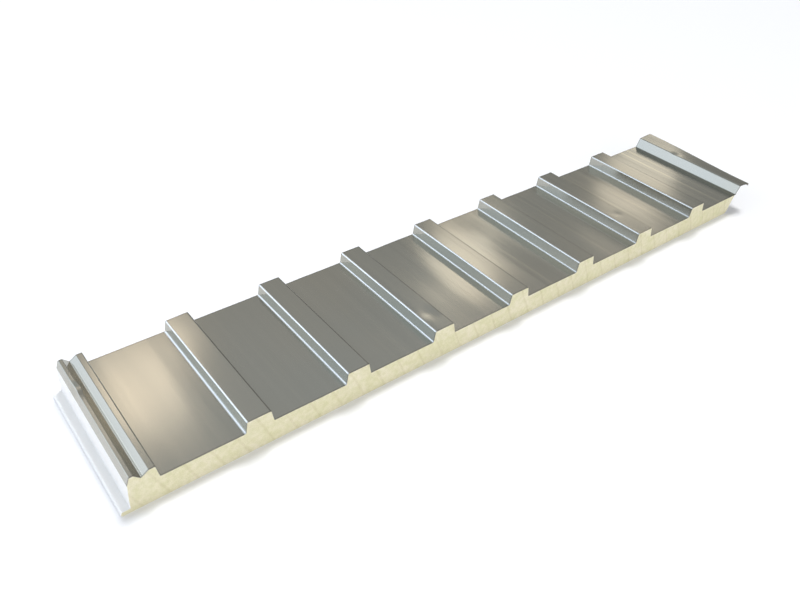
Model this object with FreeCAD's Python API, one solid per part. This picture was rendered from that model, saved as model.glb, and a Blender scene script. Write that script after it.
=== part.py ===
import FreeCAD, Part
import math
import os

# Insulated sandwich panel, short saw-cut length: a ribbed steel weather sheet and
# a flat steel liner bonded to a rigid foam core, with a film on each long side.
# X runs across the cover width, from the double-ridge edge (-X) to the overlap
# edge (+X), Y runs along the ribs, +Z is the weather side and Z = 0 the underside.
# All dimensions are in millimetres. Section points are (x, z), with x measured
# from the joint line, which repeats in every panel at each cover width.

# --- panel ---
COVER_WIDTH = 1000.0
PITCH_COUNT = 8
CUT_LENGTH = 200.0
PAN_THICKNESS = 30.0
TOP_GAUGE = 0.5
LINER_GAUGE = 0.4
FILM_THICKNESS = 0.45

# --- inner ribs of the weather sheet ---
RIB_HEIGHT = 15.0
RIB_TOP_WIDTH = 28.8
RIB_FOOT_WIDTH = 33.8
RIB_TOP_BEND = 1.2
RIB_FOOT_BEND = 1.2

# --- double ridge at the side joint ---
FLANGE_END_X = -17.4
FLANGE_END_RISE = 7.5
RIDGE_1_LEFT = -14.0
RIDGE_1_RIGHT = -9.6
RIDGE_1_HEIGHT = 17.0
GROOVE_LEFT = -2.6
GROOVE_RIGHT = -0.4
GROOVE_RISE = 9.8
RIDGE_2_LEFT = 5.6
RIDGE_2_RIGHT = 12.6
RIDGE_2_HEIGHT = 15.6
RIDGE_2_FOOT = 15.2
RIDGE_BEND = 1.0

# --- overlap flap in its free shape: a leaning web, a sloping top and a short lip ---
# It springs up over the next panel's ridges; lapped, its web stands nearly upright
# (lean 3.6, height 17.9, rise 0) and its top lies on them.
WEB_FOOT_GAP = 20.0
WEB_LEAN = 9.0
WEB_HEIGHT = 12.6
FLAP_REACH = 14.4
FLAP_RISE = 0.8
LIP_DROP = 4.4
LIP_LEAN = 1.0
WEB_TOP_BEND = 2.0
LIP_BEND = 0.8

# --- liner: flat, with a folded tongue and leg at -X and an upturned edge at +X ---
TONGUE_TIP_LOW = -30.4
TONGUE_TIP_HIGH = -28.8
TONGUE_HEIGHT = 6.0
LEG_FOOT_X = -19.6
LEG_TOP_X = -19.1
LEG_TOP_Z = 15.6
TONGUE_BEND = 1.6
LEG_BEND = 0.8
EDGE_FOOT_GAP = 35.6
EDGE_LEAN = 4.8
EDGE_HEIGHT = 6.0
EDGE_BEND = 2.4

# --- the core's long sides ---
LEFT_SIDE_X = -18.9
LEFT_SIDE_Z = 20.0
RIGHT_TOP_GAP = 21.8
RIGHT_SIDE_GAP = 25.4
RIGHT_SIDE_Z = 22.0

# --- values that follow from the ones above ---
PITCH = COVER_WIDTH / PITCH_COUNT
RIB_TOP_Z = PAN_THICKNESS + RIB_HEIGHT
WEB_FOOT_X = COVER_WIDTH - WEB_FOOT_GAP
FLAP_END_X = COVER_WIDTH + FLAP_REACH
WEB_TOP_Z = PAN_THICKNESS + WEB_HEIGHT
FLAP_END_Z = WEB_TOP_Z + FLAP_RISE
EDGE_FOOT_X = COVER_WIDTH - EDGE_FOOT_GAP


def unit(a, b):
    """Direction from point a to point b."""
    dx = b[0] - a[0]
    dz = b[1] - a[1]
    span = math.hypot(dx, dz)
    return dx / span, dz / span


def turn(a, b, c):
    """Sine of the turn at b, positive to the left."""
    u = unit(a, b)
    v = unit(b, c)
    return u[0] * v[1] - u[1] * v[0]


def shifted(a, b, gauge):
    """A point on a-b moved to the right of its direction by the gauge: (x, z) at a."""
    u = unit(a, b)
    return a[0] + u[1] * gauge, a[1] - u[0] * gauge


def inner_corners(corners, gauge):
    """The same bent line one gauge to its right, with mitred corners."""
    result = [shifted(corners[0], corners[1], gauge)]
    for a, b, c in zip(corners, corners[1:], corners[2:]):
        u = unit(a, b)
        v = unit(b, c)
        p = shifted(a, b, gauge)
        q = shifted(b, c, gauge)
        cross = u[0] * v[1] - u[1] * v[0]
        reach = ((q[0] - p[0]) * v[1] - (q[1] - p[1]) * v[0]) / cross
        result.append((p[0] + u[0] * reach, p[1] + u[1] * reach))
    back = shifted(corners[-1], corners[-2], -gauge)
    result.append(back)
    return result


def bend_radii(corners, bends, gauge, inner):
    """Radius of each bend on the outer or inner line, both round one centre."""
    result = []
    for a, b, c, bend in zip(corners, corners[1:], corners[2:], bends):
        wraps_inner = turn(a, b, c) < 0.0
        wide = wraps_inner != inner
        result.append(bend + gauge if wide else bend)
    return result


def vector(point):
    return FreeCAD.Vector(point[0], 0.0, point[1])


def line(a, b):
    return Part.makeLine(vector(a), vector(b))


def bent_edges(corners, radii):
    """Straight lines joined by tangent arcs, one radius for each inner corner."""
    edges = []
    start = corners[0]
    for a, b, c, radius in zip(corners, corners[1:], corners[2:], radii):
        u = unit(a, b)
        v = unit(b, c)
        angle = math.acos(max(-1.0, min(1.0, u[0] * v[0] + u[1] * v[1])))
        trim = radius * math.tan(angle / 2.0)
        first = (b[0] - u[0] * trim, b[1] - u[1] * trim)
        last = (b[0] + v[0] * trim, b[1] + v[1] * trim)
        bisector = unit((0.0, 0.0), (v[0] - u[0], v[1] - u[1]))
        depth = radius / math.cos(angle / 2.0) - radius
        middle = (b[0] + bisector[0] * depth, b[1] + bisector[1] * depth)
        edges.append(line(start, first))
        edges.append(Part.Arc(vector(first), vector(middle), vector(last)).toShape())
        start = last
    edges.append(line(start, corners[-1]))
    return edges


def extruded(edges):
    """Solid of the closed section run along the cut length, centred on Y = 0."""
    face = Part.Face(Part.Wire(Part.__sortEdges__(edges)))
    face.translate(FreeCAD.Vector(0.0, -CUT_LENGTH / 2.0, 0.0))
    return face.extrude(FreeCAD.Vector(0.0, CUT_LENGTH, 0.0))


def sheet(corners, bends, gauge):
    """Constant-gauge bent sheet whose outer face follows the corners."""
    inner = inner_corners(corners, gauge)
    edges = bent_edges(corners, bend_radii(corners, bends, gauge, False))
    edges += bent_edges(inner, bend_radii(corners, bends, gauge, True))
    edges.append(line(corners[0], inner[0]))
    edges.append(line(corners[-1], inner[-1]))
    return extruded(edges)


def polygon(points):
    """Solid with a straight-sided section."""
    edges = [line(a, b) for a, b in zip(points, points[1:] + points[:1])]
    return extruded(edges)


def weather_corners():
    """Outer face of the weather sheet, from the flange to the last rib's foot."""
    corners = [
        (FLANGE_END_X, PAN_THICKNESS + FLANGE_END_RISE),
        (RIDGE_1_LEFT, PAN_THICKNESS + RIDGE_1_HEIGHT),
        (RIDGE_1_RIGHT, PAN_THICKNESS + RIDGE_1_HEIGHT),
        (GROOVE_LEFT, PAN_THICKNESS + GROOVE_RISE),
        (GROOVE_RIGHT, PAN_THICKNESS + GROOVE_RISE),
        (RIDGE_2_LEFT, PAN_THICKNESS + RIDGE_2_HEIGHT),
        (RIDGE_2_RIGHT, PAN_THICKNESS + RIDGE_2_HEIGHT),
        (RIDGE_2_FOOT, PAN_THICKNESS),
    ]
    bends = [RIDGE_BEND] * 7
    for number in range(1, PITCH_COUNT):
        middle = PITCH * number
        corners += [
            (middle - RIB_FOOT_WIDTH / 2.0, PAN_THICKNESS),
            (middle - RIB_TOP_WIDTH / 2.0, RIB_TOP_Z),
            (middle + RIB_TOP_WIDTH / 2.0, RIB_TOP_Z),
            (middle + RIB_FOOT_WIDTH / 2.0, PAN_THICKNESS),
        ]
        bends += [RIB_FOOT_BEND, RIB_TOP_BEND, RIB_TOP_BEND, RIB_FOOT_BEND]
    return corners, bends


def flap_corners():
    """Outer face of the overlap flap, from the foot of its web to the lip's end."""
    corners = [
        (WEB_FOOT_X, PAN_THICKNESS),
        (WEB_FOOT_X + WEB_LEAN, WEB_TOP_Z),
        (FLAP_END_X, FLAP_END_Z),
        (FLAP_END_X + LIP_LEAN, FLAP_END_Z - LIP_DROP),
    ]
    bends = [RIB_FOOT_BEND, WEB_TOP_BEND, LIP_BEND]
    return corners, bends


def liner_corners():
    """Outer face of the liner, from its upturned +X edge to the top of its leg."""
    corners = [
        (EDGE_FOOT_X + EDGE_LEAN, EDGE_HEIGHT),
        (EDGE_FOOT_X, 0.0),
        (TONGUE_TIP_LOW, 0.0),
        (TONGUE_TIP_HIGH, TONGUE_HEIGHT),
        (LEG_FOOT_X, TONGUE_HEIGHT),
        (LEG_TOP_X, LEG_TOP_Z),
    ]
    bends = [EDGE_BEND, TONGUE_BEND, TONGUE_BEND, LEG_BEND]
    return corners, bends


def build_top_sheet():
    """Weather sheet: flange, two ridges, inner ribs, pans, web, flap and lip."""
    corners, bends = weather_corners()
    flap, flap_bends = flap_corners()
    return sheet(corners + flap, bends + flap_bends, TOP_GAUGE)


def build_liner_sheet():
    """Flat liner with the folded tongue, the leg and the upturned edge."""
    corners, bends = liner_corners()
    return sheet(corners, bends, LINER_GAUGE)


def left_film_points():
    """Outer and inner points of the -X side, from the flange to the leg."""
    weather, _ = weather_corners()
    liner, _ = liner_corners()
    outer = [weather[0], (LEFT_SIDE_X, LEFT_SIDE_Z), liner[-1]]
    inner = [
        inner_corners(weather, TOP_GAUGE)[0],
        (LEFT_SIDE_X + FILM_THICKNESS, LEFT_SIDE_Z),
        inner_corners(liner, LINER_GAUGE)[-1],
    ]
    return outer, inner


def right_film_points():
    """Outer and inner points of the +X side, from the pan to the upturned edge."""
    liner, _ = liner_corners()
    under_pan = PAN_THICKNESS - TOP_GAUGE
    top_x = COVER_WIDTH - RIGHT_TOP_GAP
    side_x = COVER_WIDTH - RIGHT_SIDE_GAP
    outer = [(top_x, under_pan), (side_x, RIGHT_SIDE_Z), liner[0]]
    inner = [
        (top_x - FILM_THICKNESS, under_pan),
        (side_x - FILM_THICKNESS, RIGHT_SIDE_Z),
        inner_corners(liner, LINER_GAUGE)[0],
    ]
    return outer, inner


def build_side_film(points):
    """Side film: a thin strip on one long side of the core."""
    outer, inner = points
    return polygon(outer + inner[::-1])


def build_foam_core():
    """Rigid foam that fills the section between both sheets and both films."""
    weather, weather_bends = weather_corners()
    weather.append(flap_corners()[0][0])
    top = inner_corners(weather, TOP_GAUGE)
    top_radii = bend_radii(weather, weather_bends, TOP_GAUGE, True)
    liner, liner_bends = liner_corners()
    bottom = inner_corners(liner, LINER_GAUGE)
    bottom_radii = bend_radii(liner, liner_bends, LINER_GAUGE, True)
    left = left_film_points()[1]
    right = right_film_points()[1]
    top[-1] = right[0]
    edges = bent_edges(top, top_radii)
    edges += bent_edges(bottom, bottom_radii)
    edges += [line(left[0], left[1]), line(left[1], left[2])]
    edges += [line(right[0], right[1]), line(right[1], right[2])]
    return extruded(edges)


parts = {
    "top_sheet": build_top_sheet(),
    "foam_core": build_foam_core(),
    "liner_sheet": build_liner_sheet(),
    "edge_film_left": build_side_film(left_film_points()),
    "edge_film_right": build_side_film(right_film_points()),
}

# The frame's origin is the middle of the whole width, tongue tip to lip.
low = min(shape.BoundBox.XMin for shape in parts.values())
high = max(shape.BoundBox.XMax for shape in parts.values())
to_frame = FreeCAD.Vector(-(low + high) / 2.0, 0.0, 0.0)

os.makedirs("parts", exist_ok=True)
for name, shape in parts.items():
    shape.translate(to_frame)
    shape.exportStep("parts/" + name + ".step")
    print(name, round(shape.Volume, 1), shape.isValid(), shape.BoundBox)
print("joint line at x =", round(to_frame.x, 3))
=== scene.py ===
# %% [markdown]
# # Insulated sandwich panel
# This lesson dresses a short length of insulated roof panel. On the real object a
# ribbed steel weather sheet and a flat steel liner are bonded to a foam core, with a
# thin film on each long side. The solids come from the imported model. We load them,
# work the flat-faced weather sheet into a hand-worn one, make the materials, and set
# up floor, light and camera. Run the cells in order; each prints what it made.

import math

import bmesh
import bpy
from mathutils import Euler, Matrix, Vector


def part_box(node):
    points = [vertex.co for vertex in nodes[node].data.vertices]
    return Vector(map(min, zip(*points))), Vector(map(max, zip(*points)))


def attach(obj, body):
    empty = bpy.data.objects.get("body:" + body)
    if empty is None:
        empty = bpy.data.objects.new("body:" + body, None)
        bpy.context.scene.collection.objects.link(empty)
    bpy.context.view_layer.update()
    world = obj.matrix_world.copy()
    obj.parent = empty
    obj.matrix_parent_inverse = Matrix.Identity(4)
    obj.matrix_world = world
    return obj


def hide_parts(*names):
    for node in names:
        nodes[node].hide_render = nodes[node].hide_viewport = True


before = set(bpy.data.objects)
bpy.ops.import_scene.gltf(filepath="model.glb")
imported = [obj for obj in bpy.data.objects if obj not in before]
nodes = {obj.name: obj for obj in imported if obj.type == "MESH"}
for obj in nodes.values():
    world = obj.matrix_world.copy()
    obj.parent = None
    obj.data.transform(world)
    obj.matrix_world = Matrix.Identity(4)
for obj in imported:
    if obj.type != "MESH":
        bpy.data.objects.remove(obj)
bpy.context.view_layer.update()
print("nodes:", sorted(nodes))

# %% [markdown]
# ## Measuring from the joint line
# Roof panels are set out from the line where two of them join, so the places below
# are millimetres from that line. The line is found from the weather sheet's own left
# edge, and the cut ends from its length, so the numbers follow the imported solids.

# %% Sizes that the later cells use
MM = 0.001
COVER_WIDTH = 1000.0
PAN_COUNT = 8
PITCH = COVER_WIDTH / PAN_COUNT
PAN_Z = 30.0
RIB_HEIGHT = 15.0
FLANGE_REACH = 17.4  # how far the weather sheet reaches past the joint line
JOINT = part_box("top_sheet")[0].x / MM + FLANGE_REACH
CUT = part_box("top_sheet")[1].y / MM
print("joint line at", round(JOINT, 2), "mm, cut ends at", round(CUT, 2), "mm")

# %% [markdown]
# ## Two curves for soft shapes
# Worn metal has no sharp steps. A soft ramp blends from one state to the other, and a
# bell makes one local push. Both give a number between 0 and 1 to multiply with.


# %% Ramp and bell
def smooth(low, high, value):
    """0 below low, 1 above high, with an even ramp between them."""
    t = max(0.0, min(1.0, (value - low) / (high - low)))
    return t * t * (3.0 - 2.0 * t)


def bump(value, middle, reach):
    """A bell that is 1 in the middle and almost 0 two reaches away."""
    return math.exp(-(((value - middle) / reach) ** 2))


print("ramp and bell half-way:", smooth(0.0, 1.0, 0.5), round(bump(1.0, 0.0, 1.2), 2))

# %% [markdown]
# ## The weather sheet and the foam under it
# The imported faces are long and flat, so they have no points to push. They could be
# subdivided evenly, but that also cuts the tight bends into slivers. Instead a copy
# of each solid is welded, flat neighbours are joined, and bisect cuts a grid through
# it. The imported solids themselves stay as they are.

# %% Copy, weld and cut up a solid
WELD = 0.00001
FLAT_ANGLE = math.radians(0.4)
GRID_STEP = 5.0
GRID_SHIFT = 1.3  # keeps the cuts off the bends
ROWS_ALONG = 40


def grid_copy(node, name):
    """A welded copy of a node, cut into a grid: (object, bmesh)."""
    mesh = nodes[node].data.copy()
    mesh.name = name
    piece = bpy.data.objects.new(name, mesh)
    bpy.context.scene.collection.objects.link(piece)
    bm = bmesh.new()
    bm.from_mesh(mesh)
    bmesh.ops.remove_doubles(bm, verts=bm.verts, dist=WELD)
    inner = [e for e in bm.edges if all(abs(f.normal.y) < 0.5 for f in e.link_faces)]
    bmesh.ops.dissolve_limit(
        bm, angle_limit=FLAT_ANGLE, verts=[], edges=inner, use_dissolve_boundaries=False
    )
    planes = [(0, (JOINT + step * GRID_STEP + GRID_SHIFT) * MM) for step in range(-5, 205)]
    planes += [(1, (step * 2.0 / ROWS_ALONG - 1.0) * CUT * MM) for step in range(1, ROWS_ALONG)]
    for axis, position in planes:
        place, normal = Vector(), Vector()
        place[axis], normal[axis] = position, 1.0
        geometry = bm.verts[:] + bm.edges[:] + bm.faces[:]
        bmesh.ops.bisect_plane(bm, geom=geometry, plane_co=place, plane_no=normal)
    print(name, "grid faces:", len(bm.faces))
    return piece, bm


weather, weather_bm = grid_copy("top_sheet", "weather_sheet")
core, core_bm = grid_copy("foam_core", "worked_core")

# %% [markdown]
# ### Waves in the pans
# Thin sheet between stiff folds is never quite flat, and glossy metal shows it at
# once. Each pan gets its own rise and tilt of a few tenths of a millimetre. A squared
# sine fades them out at the rib feet, where the folds keep the sheet straight.

# %% Wave one pan
# One pair for each pan: how far its middle lifts, and how far it tilts.
PAN_WAVES = [
    (0.15, -0.06), (-0.15, 0.10), (0.10, 0.18), (0.28, -0.22),
    (0.30, 0.15), (-0.18, 0.20), (-0.22, 0.12), (0.25, -0.10),
]
RIB_HALF = 16.9
WAVE_MEAN = 0.6
WAVE_SWING = 0.4


def wave_pan(x, y, z):
    """Lifts and tilts the flat of a pan."""
    pan = int(x // PITCH)
    if not (0 <= pan < PAN_COUNT and PAN_Z - 1.0 < z < PAN_Z + 0.2):
        return x, y, z
    low, high = pan * PITCH + RIB_HALF, (pan + 1) * PITCH - RIB_HALF
    across = (x - low) / (high - low)
    if 0.0 < across < 1.0:
        lift, tilt = PAN_WAVES[pan]
        fade = math.sin(math.pi * across) ** 2
        turn = math.pi * (y / CUT) * (1.0 + 0.2 * pan) + pan
        along = WAVE_MEAN + WAVE_SWING * math.cos(turn)
        z += fade * (lift * along + tilt * math.sin(2.0 * math.pi * across))
    return x, y, z


print("pans waved:", len(PAN_WAVES))

# %% [markdown]
# ### Dents
# A dropped tool leaves a shallow round dent. Each one here is a bell-shaped push
# down, limited to points above a given height so that the pan below stays flat.

# %% Press the dents
DENTS = [
    # x from the joint line, y, reach in x, reach in y, depth, lowest height moved
    (377.2, -68.0, 8.0, 10.0, 0.6, 44.0),
    (617.9, -38.0, 3.5, 4.0, 0.5, 44.0),
    (751.9, -46.0, 3.0, 4.0, 0.4, 44.0),
    (990.5, 27.0, 3.0, 5.0, 0.9, 41.0),
]


def press_dents(x, y, z):
    """Pushes the points near each dent down."""
    for dent_x, dent_y, reach_x, reach_y, depth, floor_z in DENTS:
        if z > floor_z:
            z -= depth * bump(x, dent_x, reach_x) * bump(y, dent_y, reach_y)
    return x, y, z


print("dents:", len(DENTS))

# %% [markdown]
# ### The double ridge
# The left edge has two narrow ridges with a groove between them. The first ridge has
# been knocked: its crest sinks and bulges to the right, over the groove. The groove
# has opened into a slacker slope on its right. A new mesh could be modelled for this
# spot, but moving the points that are there keeps the sheet's thickness and folds.

# %% Work the double ridge
PINCH_Y, PINCH_REACH = 46.0, 10.0
PINCH_LOW, PINCH_HIGH = 39.0, 46.0  # heights where the knock starts and is full
PINCH_DEPTH = 1.7
RIDGE_LEFT, RIDGE_MIDDLE, RIDGE_RIGHT = -19.0, -11.8, -4.0
LEFT_BULGE, RIGHT_BULGE = 1.0, 2.2
SLOPE_LIFT = 1.7
SLOPE_FOOT, SLOPE_FULL, SLOPE_TOP = -3.5, -0.4, 5.8


def work_ridges(x, y, z):
    """Knocks the first ridge in and slackens the groove's right-hand slope."""
    pinch = bump(y, PINCH_Y, PINCH_REACH) * smooth(PINCH_LOW, PINCH_HIGH, z)
    if RIDGE_LEFT < x < RIDGE_RIGHT and pinch > 0.001:
        z -= PINCH_DEPTH * pinch
        x += (LEFT_BULGE if x < RIDGE_MIDDLE else RIGHT_BULGE) * pinch
    if z > PAN_Z and SLOPE_FOOT < x < SLOPE_TOP:
        fade = min(1.0, (SLOPE_TOP - x) / (SLOPE_TOP - SLOPE_FULL))
        z += SLOPE_LIFT * smooth(SLOPE_FOOT, SLOPE_FULL, x) * fade
    return x, y, z


print("knock is", PINCH_DEPTH, "mm deep at y =", PINCH_Y)

# %% [markdown]
# ### The first rib's top
# A rib's top that isn't quite level catches the light on one side. The first rib's
# top rises a little to the right at its far end. A straight tilt across the top and
# a soft ramp along the rib are enough for that.

# %% Tilt the first rib's top
RIB_TOP_HALF = 14.4
RIB_REACH = 17.0
RIB_TOP_LOW = 42.0
RISE = 0.35
RISE_FROM_Y, RISE_FULL_Y = -40.0, 70.0


def tilt_first_rib(x, y, z):
    """Lifts the right-hand side of the first rib's top, at the far end only."""
    if PITCH - RIB_REACH < x < PITCH + RIB_REACH and z > RIB_TOP_LOW:
        z += RISE * smooth(RISE_FROM_Y, RISE_FULL_Y, y) * (x - PITCH) / RIB_TOP_HALF
    return x, y, z


print("first rib's top rises by", RISE, "mm")

# %% [markdown]
# ### The free flap
# The flap on the right lies over the next panel in use. Here it is free, so it has
# been bent by hand: it stands higher at the far end, and towards the near end its web
# leans out and its edge hangs lower. Two weights, one for the web and one for the
# edge, share out the moves, and a third one fades them in towards the near end.

# %% Bend the flap
WEB_FOOT, WEB_WIDTH = 980.0, 9.0
EDGE_FROM, EDGE_TO = 989.0, 1014.0
WEB_PULL, WEB_LEAN_NEAR = 1.5, 0.3
WEB_LIFT, WEB_DROP_NEAR = 1.6, 1.1
EDGE_PULL_NEAR = 4.0
EDGE_LIFT, EDGE_DROP_NEAR = 0.9, 3.4


def bend_flap(x, y, z):
    """Raises the free flap at the far end and presses it down at the near end."""
    if x > WEB_FOOT and z > PAN_Z - 1.0:
        near = smooth(0.0, 1.0, (CUT - y) / (2.0 * CUT))
        web = min(1.0, (x - WEB_FOOT) / WEB_WIDTH)
        edge = smooth(EDGE_FROM, EDGE_TO, x)
        x += web * (1.0 - edge) * (WEB_LEAN_NEAR * near - WEB_PULL) - EDGE_PULL_NEAR * near * edge
        z += web * (WEB_LIFT - WEB_DROP_NEAR * near) + edge * (EDGE_LIFT - EDGE_DROP_NEAR * near)
    return x, y, z


print("flap bends from", WEB_FOOT, "mm outwards")

# %% [markdown]
# ### Push both grids the same way
# Foam is poured between the sheets and sticks to them, so sheet and foam must move
# together. The same steps run on every point of both grids. Smooth shading with
# weighted normals keeps the flats flat and the small bends round.

# %% Push the points and hand the pieces to the frame
STEPS = (wave_pan, press_dents, work_ridges, tilt_first_rib, bend_flap)
SHARP_ANGLE = 0.9


def push_all(piece, bm, node):
    """Moves every point, sets smooth shading and hands the piece to the frame."""
    for vert in bm.verts:
        x, y, z = vert.co.x / MM - JOINT, vert.co.y / MM, vert.co.z / MM
        for step in STEPS:
            x, y, z = step(x, y, z)
        vert.co = Vector(((x + JOINT) * MM, y * MM, z * MM))
    bm.normal_update()
    for face in bm.faces:
        face.smooth = abs(face.normal.y) < 0.9
        face.material_index = 0 if face.smooth else 1
    for edge in bm.edges:
        faces = edge.link_faces
        edge.smooth = (
            len(faces) == 2 and faces[0].normal.angle(faces[1].normal, 0.0) < SHARP_ANGLE
        )
    bm.to_mesh(piece.data)
    bm.free()
    weighted = piece.modifiers.new("face_weights", "WEIGHTED_NORMAL")
    weighted.keep_sharp = True
    weighted.mode = "FACE_AREA"
    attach(piece, "root")
    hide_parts(node)
    print(piece.name, "done:", len(piece.data.polygons), "faces")


push_all(weather, weather_bm, "top_sheet")
push_all(core, core_bm, "foam_core")

# %% [markdown]
# ## A small kit for materials
# Each finish below is a node tree, so that it has no seams and needs no image file.
# All of them read Object coordinates, which are the frame's own metres. These helpers
# each add one node and return its output, which keeps the recipes short.


# %% Kit: a new material, noise and a colour ramp
def new_material(name):
    """A node material with its shader and a coordinate node: (material, tree, shader, coords)."""
    material = bpy.data.materials.new(name)
    material.use_nodes = True
    tree = material.node_tree
    shader = tree.nodes["Principled BSDF"]
    coords = tree.nodes.new("ShaderNodeTexCoord")
    return material, tree, shader, coords


def noise(tree, coords, scale, detail, stretch=(1.0, 1.0, 1.0), shift=(0.0, 0.0, 0.0)):
    """Noise over the object, stretched along its axes; returns its factor output."""
    mapping = tree.nodes.new("ShaderNodeMapping")
    mapping.inputs["Scale"].default_value = stretch
    mapping.inputs["Location"].default_value = shift
    texture = tree.nodes.new("ShaderNodeTexNoise")
    texture.inputs["Scale"].default_value = scale
    texture.inputs["Detail"].default_value = detail
    tree.links.new(coords.outputs["Object"], mapping.inputs["Vector"])
    tree.links.new(mapping.outputs["Vector"], texture.inputs["Vector"])
    return texture.outputs["Fac"]


def ramp(tree, factor, stops):
    """Colour ramp from (position, (r, g, b)) stops; returns its colour output."""
    node = tree.nodes.new("ShaderNodeValToRGB")
    elements = node.color_ramp.elements
    while len(elements) < len(stops):
        elements.new(0.5)
    for element, (position, colour) in zip(elements, stops):
        element.position = position
        element.color = (*colour, 1.0)
    tree.links.new(factor, node.inputs["Fac"])
    return node.outputs["Color"]


print("kit ready: material, noise, ramp")


# %% Kit: mix colours, map ranges and add relief
def mix(tree, factor, first, second, blend="MIX"):
    """Mixes two colours; the factor is a number or a socket."""
    node = tree.nodes.new("ShaderNodeMix")
    node.data_type = "RGBA"
    node.blend_type = blend
    inputs = [s for s in node.inputs if s.enabled]
    for socket, value in zip(inputs, (factor, first, second)):
        if isinstance(value, bpy.types.NodeSocket):
            tree.links.new(value, socket)
        elif isinstance(value, float):
            socket.default_value = value
        else:
            socket.default_value = (*value, 1.0)
    return [s for s in node.outputs if s.enabled][0]


def ramp_value(tree, factor, low, high, out_low, out_high):
    """Maps a factor from one range to another."""
    node = tree.nodes.new("ShaderNodeMapRange")
    node.inputs["From Min"].default_value = low
    node.inputs["From Max"].default_value = high
    node.inputs["To Min"].default_value = out_low
    node.inputs["To Max"].default_value = out_high
    tree.links.new(factor, node.inputs["Value"])
    return node.outputs["Result"]


def bump_map(tree, shader, height, strength, distance):
    """Adds fine relief from a height factor to the shader's normal."""
    node = tree.nodes.new("ShaderNodeBump")
    node.inputs["Strength"].default_value = strength
    node.inputs["Distance"].default_value = distance
    tree.links.new(height, node.inputs["Height"])
    tree.links.new(node.outputs["Normal"], shader.inputs["Normal"])


print("kit ready: mix, ramp_value, bump_map")


# %% Kit: arithmetic on sockets
def maths(tree, operation, first, second=0.0):
    """One step of arithmetic on a socket; the second value is a number or a socket."""
    node = tree.nodes.new("ShaderNodeMath")
    node.operation = operation
    tree.links.new(first, node.inputs[0])
    if isinstance(second, bpy.types.NodeSocket):
        tree.links.new(second, node.inputs[1])
    else:
        node.inputs[1].default_value = second
    return node.outputs[0]


def times(tree, first, second):
    """The product of two sockets, or of a socket and a number."""
    return maths(tree, "MULTIPLY", first, second)


def within(tree, value, middle, reach):
    """1 where a value lies within reach of the middle, else 0."""
    result = maths(tree, "COMPARE", value, middle)
    result.node.inputs[2].default_value = reach
    return result


print("kit ready: maths, times, within")

# %% [markdown]
# ## Coated steel
# The weather sheet is glossy silver-grey coated steel. The rollers that folded it
# leave faint streaks along the ribs. A noise that is squeezed across and stretched
# along the ribs gives the streaks, and a large round one makes the tone uneven.

# %% Coated steel: the even coat
steel, tree, shader, coords = new_material("coated_steel")
streaks = noise(tree, coords, 60.0, 3.0, (1.0, 0.03, 1.0))
clouds = noise(tree, coords, 5.0, 2.0)
grey = ramp(tree, streaks, [(0.3, (0.40, 0.40, 0.36)), (0.7, (0.44, 0.435, 0.39))])
tint = ramp(tree, clouds, [(0.35, (0.40, 0.41, 0.375)), (0.65, (0.45, 0.43, 0.365))])
coat = mix(tree, 0.5, grey, tint)
shader.inputs["Metallic"].default_value = 0.92
print("coat made:", steel.name)

# %% [markdown]
# Some marks lie at known places, so the tree works out where on the panel it is: how
# far from the joint line, and how far from the nearest rib's middle. A fraction node
# repeats the same distance at every rib.

# %% Coated steel: where on the panel
place = tree.nodes.new("ShaderNodeSeparateXYZ")
tree.links.new(coords.outputs["Object"], place.inputs["Vector"])
from_joint = maths(tree, "SUBTRACT", times(tree, place.outputs["X"], 1.0 / MM), JOINT)
height = times(tree, place.outputs["Z"], 1.0 / MM)
turns = maths(tree, "ADD", maths(tree, "DIVIDE", from_joint, PITCH), 0.5)
centred = maths(tree, "SUBTRACT", maths(tree, "FRACT", turns), 0.5)
across = times(tree, centred, PITCH)
in_row = within(tree, from_joint, COVER_WIDTH / 2.0, 450.0)  # leaves out both edges
print("places found for", PAN_COUNT - 1, "ribs")

# %% [markdown]
# Roller marks are fine lines along the ribs, and they grow stronger towards the
# overlap edge. The ramp stays flat in its middle, so that only rare lines show and
# the metal doesn't look like wood.

# %% Coated steel: roller marks
rolls = noise(tree, coords, 120.0, 2.0, (1.0, 0.010, 0.2))
lines = ramp(tree, rolls, [
    (0.30, (0.86, 0.86, 0.85)),
    (0.42, (1.0, 1.0, 1.0)),
    (0.58, (1.0, 1.0, 1.0)),
    (0.70, (1.26, 1.23, 1.16)),
])
grown = ramp_value(tree, from_joint, 350.0, 850.0, 0.1, 1.0)
coat = mix(tree, grown, coat, lines, "MULTIPLY")
marks = times(tree, rolls, ramp_value(tree, from_joint, 350.0, 800.0, 0.0, 0.35))
relief = maths(tree, "ADD", noise(tree, coords, 14.0, 1.0, (1.0, 0.3, 1.0)), marks)
bump_map(tree, shader, relief, 0.06, 0.002)
print("roller marks made")

# %% [markdown]
# The left-hand flank's bends, at its top and at its foot, are painted pale as a painted
# highlight, and the same mask makes them duller. A dark line on the right-hand top bend of each
# rib is painted
# shade. Both are masks: a product of tests that are each 1 inside and 0 outside.

# %% Coated steel: painted highlight and painted shade at the rib bends
FLANK_MIDDLE, FLANK_REACH = -15.8, 2.9
BEND_FROM, BEND_FULL = 6.0, 6.6  # heights above and below the flank's middle
SHADE_LINE_MIDDLE, SHADE_LINE_REACH, SHADE_LINE_HEIGHT = 14.2, 1.5, 13.4
flank = within(tree, across, FLANK_MIDDLE, FLANK_REACH)
half_way = PAN_Z + RIB_HEIGHT / 2.0
from_middle = maths(tree, "ABSOLUTE", maths(tree, "SUBTRACT", height, half_way))
at_bend = ramp_value(tree, from_middle, BEND_FROM, BEND_FULL, 0.0, 1.0)
# Painted highlight: a pale bluish line on the left-hand bends, at top and foot.
painted_highlight_bends = times(tree, times(tree, flank, at_bend), in_row)
coat = mix(tree, painted_highlight_bends, coat, (0.86, 0.89, 0.90))

# Painted shade: a dark line along each rib's right-hand top bend, standing in for its dark
# reflection and shading.
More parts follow.
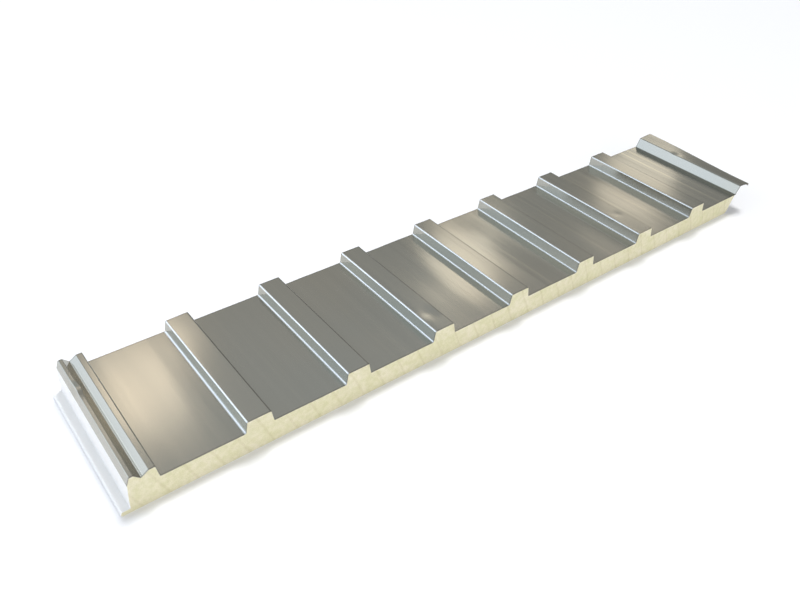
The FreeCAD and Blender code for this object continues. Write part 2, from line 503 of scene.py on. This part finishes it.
edge = within(tree, across, SHADE_LINE_MIDDLE, SHADE_LINE_REACH)
high = maths(tree, "GREATER_THAN", height, PAN_Z + SHADE_LINE_HEIGHT)
painted_shade_line = times(tree, times(tree, edge, high), times(tree, in_row, 0.6))
coat = mix(tree, painted_shade_line, coat, (0.13, 0.125, 0.105))
print("bends marked")

# %% [markdown]
# A dark strip along the last millimetre at each cut end is painted shade of the cut's burr. The
# flap is duller, because it is what hands take hold of. Both go in last, over the other marks.

# %% Coated steel: painted shade at the cut ends, flap and gloss
SHADE_STRIP_FROM, SHADE_STRIP_FULL = 0.0984, 0.0994  # metres from the middle of the length
# Painted shade: a dark strip along the last millimetre at each cut end.
from_centre = maths(tree, "ABSOLUTE", place.outputs["Y"])
painted_cut_shade = ramp_value(tree, from_centre, SHADE_STRIP_FROM, SHADE_STRIP_FULL, 0.0, 0.5)
coat = mix(tree, painted_cut_shade, coat, (0.12, 0.11, 0.09))
tree.links.new(coat, shader.inputs["Base Color"])

rolled = ramp_value(tree, streaks, 0.3, 0.7, 0.14, 0.20)
handled = ramp_value(tree, from_joint, 976.0, 980.0, 0.0, 0.19)
# The painted highlight mask also makes the left-hand bends rougher.
worn = maths(tree, "MAXIMUM", times(tree, painted_highlight_bends, 0.32), handled)
tree.links.new(maths(tree, "MAXIMUM", rolled, worn), shader.inputs["Roughness"])
print("steel nodes:", len(tree.nodes))

# %% [markdown]
# ## Bare steel at the saw cut
# The sheet's own thickness shows at the cut ends as a thin, torn line. A mask in the
# coat could make it too, but the cut faces already have a slot of their own, so a
# second material is simpler. A very fine noise stands for the burr.

# %% Bare steel
cut_steel, tree, shader, coords = new_material("cut_steel")
burr = noise(tree, coords, 900.0, 2.0)
bare = ramp(tree, burr, [(0.3, (0.30, 0.29, 0.25)), (0.7, (0.62, 0.61, 0.56))])
tree.links.new(bare, shader.inputs["Base Color"])
shader.inputs["Metallic"].default_value = 0.4
shader.inputs["Roughness"].default_value = 0.5
bump_map(tree, shader, burr, 0.3, 0.0004)
print("made:", cut_steel.name)

# %% [markdown]
# ## Foam
# Rigid foam is pale cream and matt, with closed cells under a millimetre across. Its
# tone is blotchy, so two noises of different size are multiplied, and a third makes
# the cells.

# %% Foam: colour and cells
foam, tree, shader, coords = new_material("cut_foam")
mottle = noise(tree, coords, 30.0, 4.0)
patches = noise(tree, coords, 150.0, 7.0, (1.0, 1.0, 1.0), (3.0, 1.0, 2.0))
cells = noise(tree, coords, 1600.0, 2.0)
cream = ramp(tree, mottle, [(0.3, (0.80, 0.775, 0.53)), (0.7, (0.88, 0.835, 0.64))])
pale = ramp(tree, patches, [(0.38, (0.93, 0.93, 0.87)), (0.62, (1.03, 1.02, 1.06))])
speck = ramp(tree, cells, [(0.35, (0.82, 0.80, 0.74)), (0.55, (1.0, 1.0, 1.0))])
cream = mix(tree, 1.0, cream, pale, "MULTIPLY")
cream = mix(tree, 1.0, cream, speck, "MULTIPLY")
bump_map(tree, shader, cells, 0.35, 0.0008)
print("foam colour made")

# %% [markdown]
# The saw's teeth leave faint lines that slant across the cut face. A wave texture
# repeats at an even pitch, and turning its coordinates about Y gives the slant.

# %% Foam: saw lines
SAW_SLANT = math.radians(23.0)
saw = tree.nodes.new("ShaderNodeTexWave")
saw.bands_direction = "X"
saw.inputs["Scale"].default_value = 11.6
saw.inputs["Distortion"].default_value = 0.4
saw.inputs["Detail Scale"].default_value = 3.0
turned = tree.nodes.new("ShaderNodeMapping")
turned.inputs["Rotation"].default_value = (0.0, SAW_SLANT, 0.0)
tree.links.new(coords.outputs["Object"], turned.inputs["Vector"])
tree.links.new(turned.outputs["Vector"], saw.inputs["Vector"])
lines = ramp(tree, saw.outputs["Fac"], [(0.0, (0.93, 0.92, 0.89)), (0.05, (1.0, 1.0, 1.0))])
tree.links.new(mix(tree, 1.0, cream, lines, "MULTIPLY"), shader.inputs["Base Color"])
shader.inputs["Roughness"].default_value = 0.85
shader.inputs["Specular IOR Level"].default_value = 0.2
print("foam nodes:", len(tree.nodes))

# %% [markdown]
# ## White liner
# The liner, which faces the room below, is coil-coated white steel. It is smooth and
# satin. A perfectly even white looks like plastic, so a broad noise lets the tone
# drift slightly, as thin dust does.

# %% White liner
white, tree, shader, coords = new_material("white_liner")
dust = noise(tree, coords, 12.0, 3.0)
paint = ramp(tree, dust, [(0.3, (0.92, 0.92, 0.91)), (0.7, (0.95, 0.945, 0.935))])
tree.links.new(paint, shader.inputs["Base Color"])
shader.inputs["Roughness"].default_value = 0.4
print("made:", white.name)

# %% [markdown]
# ## Side film
# A thin film holds the foam in at both long sides while it sets. It is softer than
# the liner and slightly rippled along its length. The ripple is far smaller than the
# grid of points could show, so it is a bump in the material.

# %% Side film
film, tree, shader, coords = new_material("side_film")
ripple = noise(tree, coords, 22.0, 3.0, (1.0, 0.3, 1.0))
milky = ramp(tree, ripple, [(0.3, (0.92, 0.91, 0.89)), (0.7, (0.95, 0.94, 0.915))])
tree.links.new(milky, shader.inputs["Base Color"])
shader.inputs["Roughness"].default_value = 0.45
bump_map(tree, shader, ripple, 0.25, 0.002)
print("made:", film.name)

# %% [markdown]
# ## Put the materials on the pieces
# The worked sheet and foam have two slots, one for their long faces and one for the
# cut ends, as their faces were numbered above. The other pieces are the packed
# solids themselves and take one material each.

# %% Fill the slots
for piece, outside, end in ((weather, steel, cut_steel), (core, foam, foam)):
    piece.data.materials.clear()
    piece.data.materials.append(outside)
    piece.data.materials.append(end)
for name, material in (
    ("liner_sheet", white), ("edge_film_left", film), ("edge_film_right", film),
):
    mesh = nodes[name].data
    if not mesh.materials:
        mesh.materials.append(material)
    for slot in nodes[name].material_slots:
        slot.material = material
print("materials:", [m.name for m in bpy.data.materials])

# %% [markdown]
# ## Floor
# The panel lies flat on a wide sheet of pale matt paper. The floor is broad enough to
# fill the view, and its own pale colour, not extra light, makes the ground white.

# %% Floor
bpy.ops.mesh.primitive_plane_add(size=60.0, location=(0.0, 0.0, 0.0))
floor = bpy.context.object
floor.name = "floor"
floor_material, tree, shader, coords = new_material("floor_paper")
shader.inputs["Base Color"].default_value = (0.935, 0.935, 0.96, 1.0)
shader.inputs["Roughness"].default_value = 0.9
floor.data.materials.append(floor_material)
print("floor is", round(floor.dimensions.x), "m wide")

# %% [markdown]
# ## The room that the metal mirrors
# Glossy steel shows its surroundings, so a plain white world would make it white. The
# world here is a grey room that is dim near the floor line, brightest half-way up and
# dim again overhead. Its brightness depends on height alone.

# %% World
world = bpy.data.worlds.new("studio")
world.use_nodes = True
bpy.context.scene.world = world
background = world.node_tree.nodes["Background"]
sky = world.node_tree.nodes.new("ShaderNodeTexCoord")
split = world.node_tree.nodes.new("ShaderNodeSeparateXYZ")
world.node_tree.links.new(sky.outputs["Generated"], split.inputs["Vector"])
walls = ramp(world.node_tree, split.outputs["Z"], [
    (0.0, (0.20, 0.20, 0.19)),
    (0.18, (0.22, 0.22, 0.21)),
    (0.5, (0.38, 0.38, 0.37)),
    (0.70, (0.53, 0.53, 0.53)),
    (0.82, (0.44, 0.49, 0.52)),
    (0.95, (0.28, 0.32, 0.35)),
])
world.node_tree.links.new(walls, background.inputs["Color"])
background.inputs["Strength"].default_value = 1.0
print("world made:", world.name)

# %% [markdown]
# ## Lamps
# Soft lamps shape the metal: a wide cool one from the left, one higher up that the
# pans show beside each rib, and three small warm ones behind, which the pans mirror
# as patches. Two fills, at the front and the left, light the foam and the film but
# aren't mirrored. A broad sun gives the shadow on the floor.


# %% A helper for soft lamps
def lamp(name, place, aim, size, strength, colour):
    """A soft area lamp; strength is its brightness, where 1 is as bright as white."""
    light = bpy.data.lights.new(name, "AREA")
    light.shape = "RECTANGLE"
    light.size, light.size_y = size
    light.energy = strength * math.pi * size[0] * size[1]
    light.color = colour
    obj = bpy.data.objects.new(name, light)
    obj.location = place
    way = Vector(place) - Vector(aim)
    obj.rotation_euler = way.to_track_quat("Z", "Y").to_euler()
    bpy.context.scene.collection.objects.link(obj)
    print("lamp:", name, round(light.energy, 2), "W")
    return obj


# %% The wide lamp and the two fills
COOL = (0.74, 0.84, 1.0)
CENTRE = (0.0, 0.0, 0.0)
lamp("cool_left", (-2.09, 1.16, 0.95), CENTRE, (3.0, 1.8), 1.55, COOL)
side_fill = lamp(
    "side_fill", (-2.2, -0.6, 2.3), (-0.5, 0.0, 0.0), (2.4, 1.4), 0.5, (1.0, 0.88, 0.70)
)
front_fill = lamp("front_fill", (-0.3, -3.0, 0.9), CENTRE, (3.0, 1.3), 2.65, (1.0, 0.985, 0.97))
side_fill.visible_glossy = False
front_fill.visible_glossy = False

# %% Lamps that the pans mirror
PALE_BLUE = (0.78, 0.89, 1.0)
cool_high = lamp("cool_high", (-1.0, 1.38, 1.83), (0.2, 0.0, 0.0), (0.95, 1.1), 0.75, PALE_BLUE)
cool_high.visible_diffuse = False
lamp("warm_pan_1", (0.09, 2.18, 2.05), (-0.455, 0.03, 0.0), (0.38, 0.44), 1.8, (1.0, 0.85, 0.68))
lamp("warm_pan_4", (1.73, 1.75, 1.72), CENTRE, (0.33, 0.38), 1.65, (1.0, 0.88, 0.72))
lamp("warm_pan_8", (2.68, 1.47, 1.37), (0.41, 0.03, 0.0), (0.35, 0.5), 1.2, (1.0, 0.90, 0.76))

# %% Sun
key = bpy.data.lights.new("key", "SUN")
key.energy = 2.0
key.angle = math.radians(18.0)
sun = bpy.data.objects.new("key", key)
sun.rotation_euler = Vector((0.38, 0.24, 0.90)).to_track_quat("Z", "Y").to_euler()
sun.visible_glossy = False
bpy.context.scene.collection.objects.link(sun)
print("sun made")

# %% [markdown]
# ## Camera
# The camera looks down along the panel from its left near corner. A moderately wide
# lens close by makes the far end clearly smaller. The Standard view keeps a plain
# colour as it is written.

# %% Camera
camera_data = bpy.data.cameras.new("camera")
camera_data.sensor_width = 36.0
camera_data.lens = 34.6
camera = bpy.data.objects.new("camera", camera_data)
camera.location = (-0.6028, -0.6142, 0.6305)
pitch, roll, heading = (math.radians(angle) for angle in (52.142, -1.945, -37.326))
camera.rotation_euler = Euler((pitch, roll, heading), "XYZ")
bpy.context.scene.collection.objects.link(camera)
bpy.context.scene.camera = camera
bpy.context.scene.view_settings.view_transform = "Standard"
print("lens:", camera_data.lens, "mm")
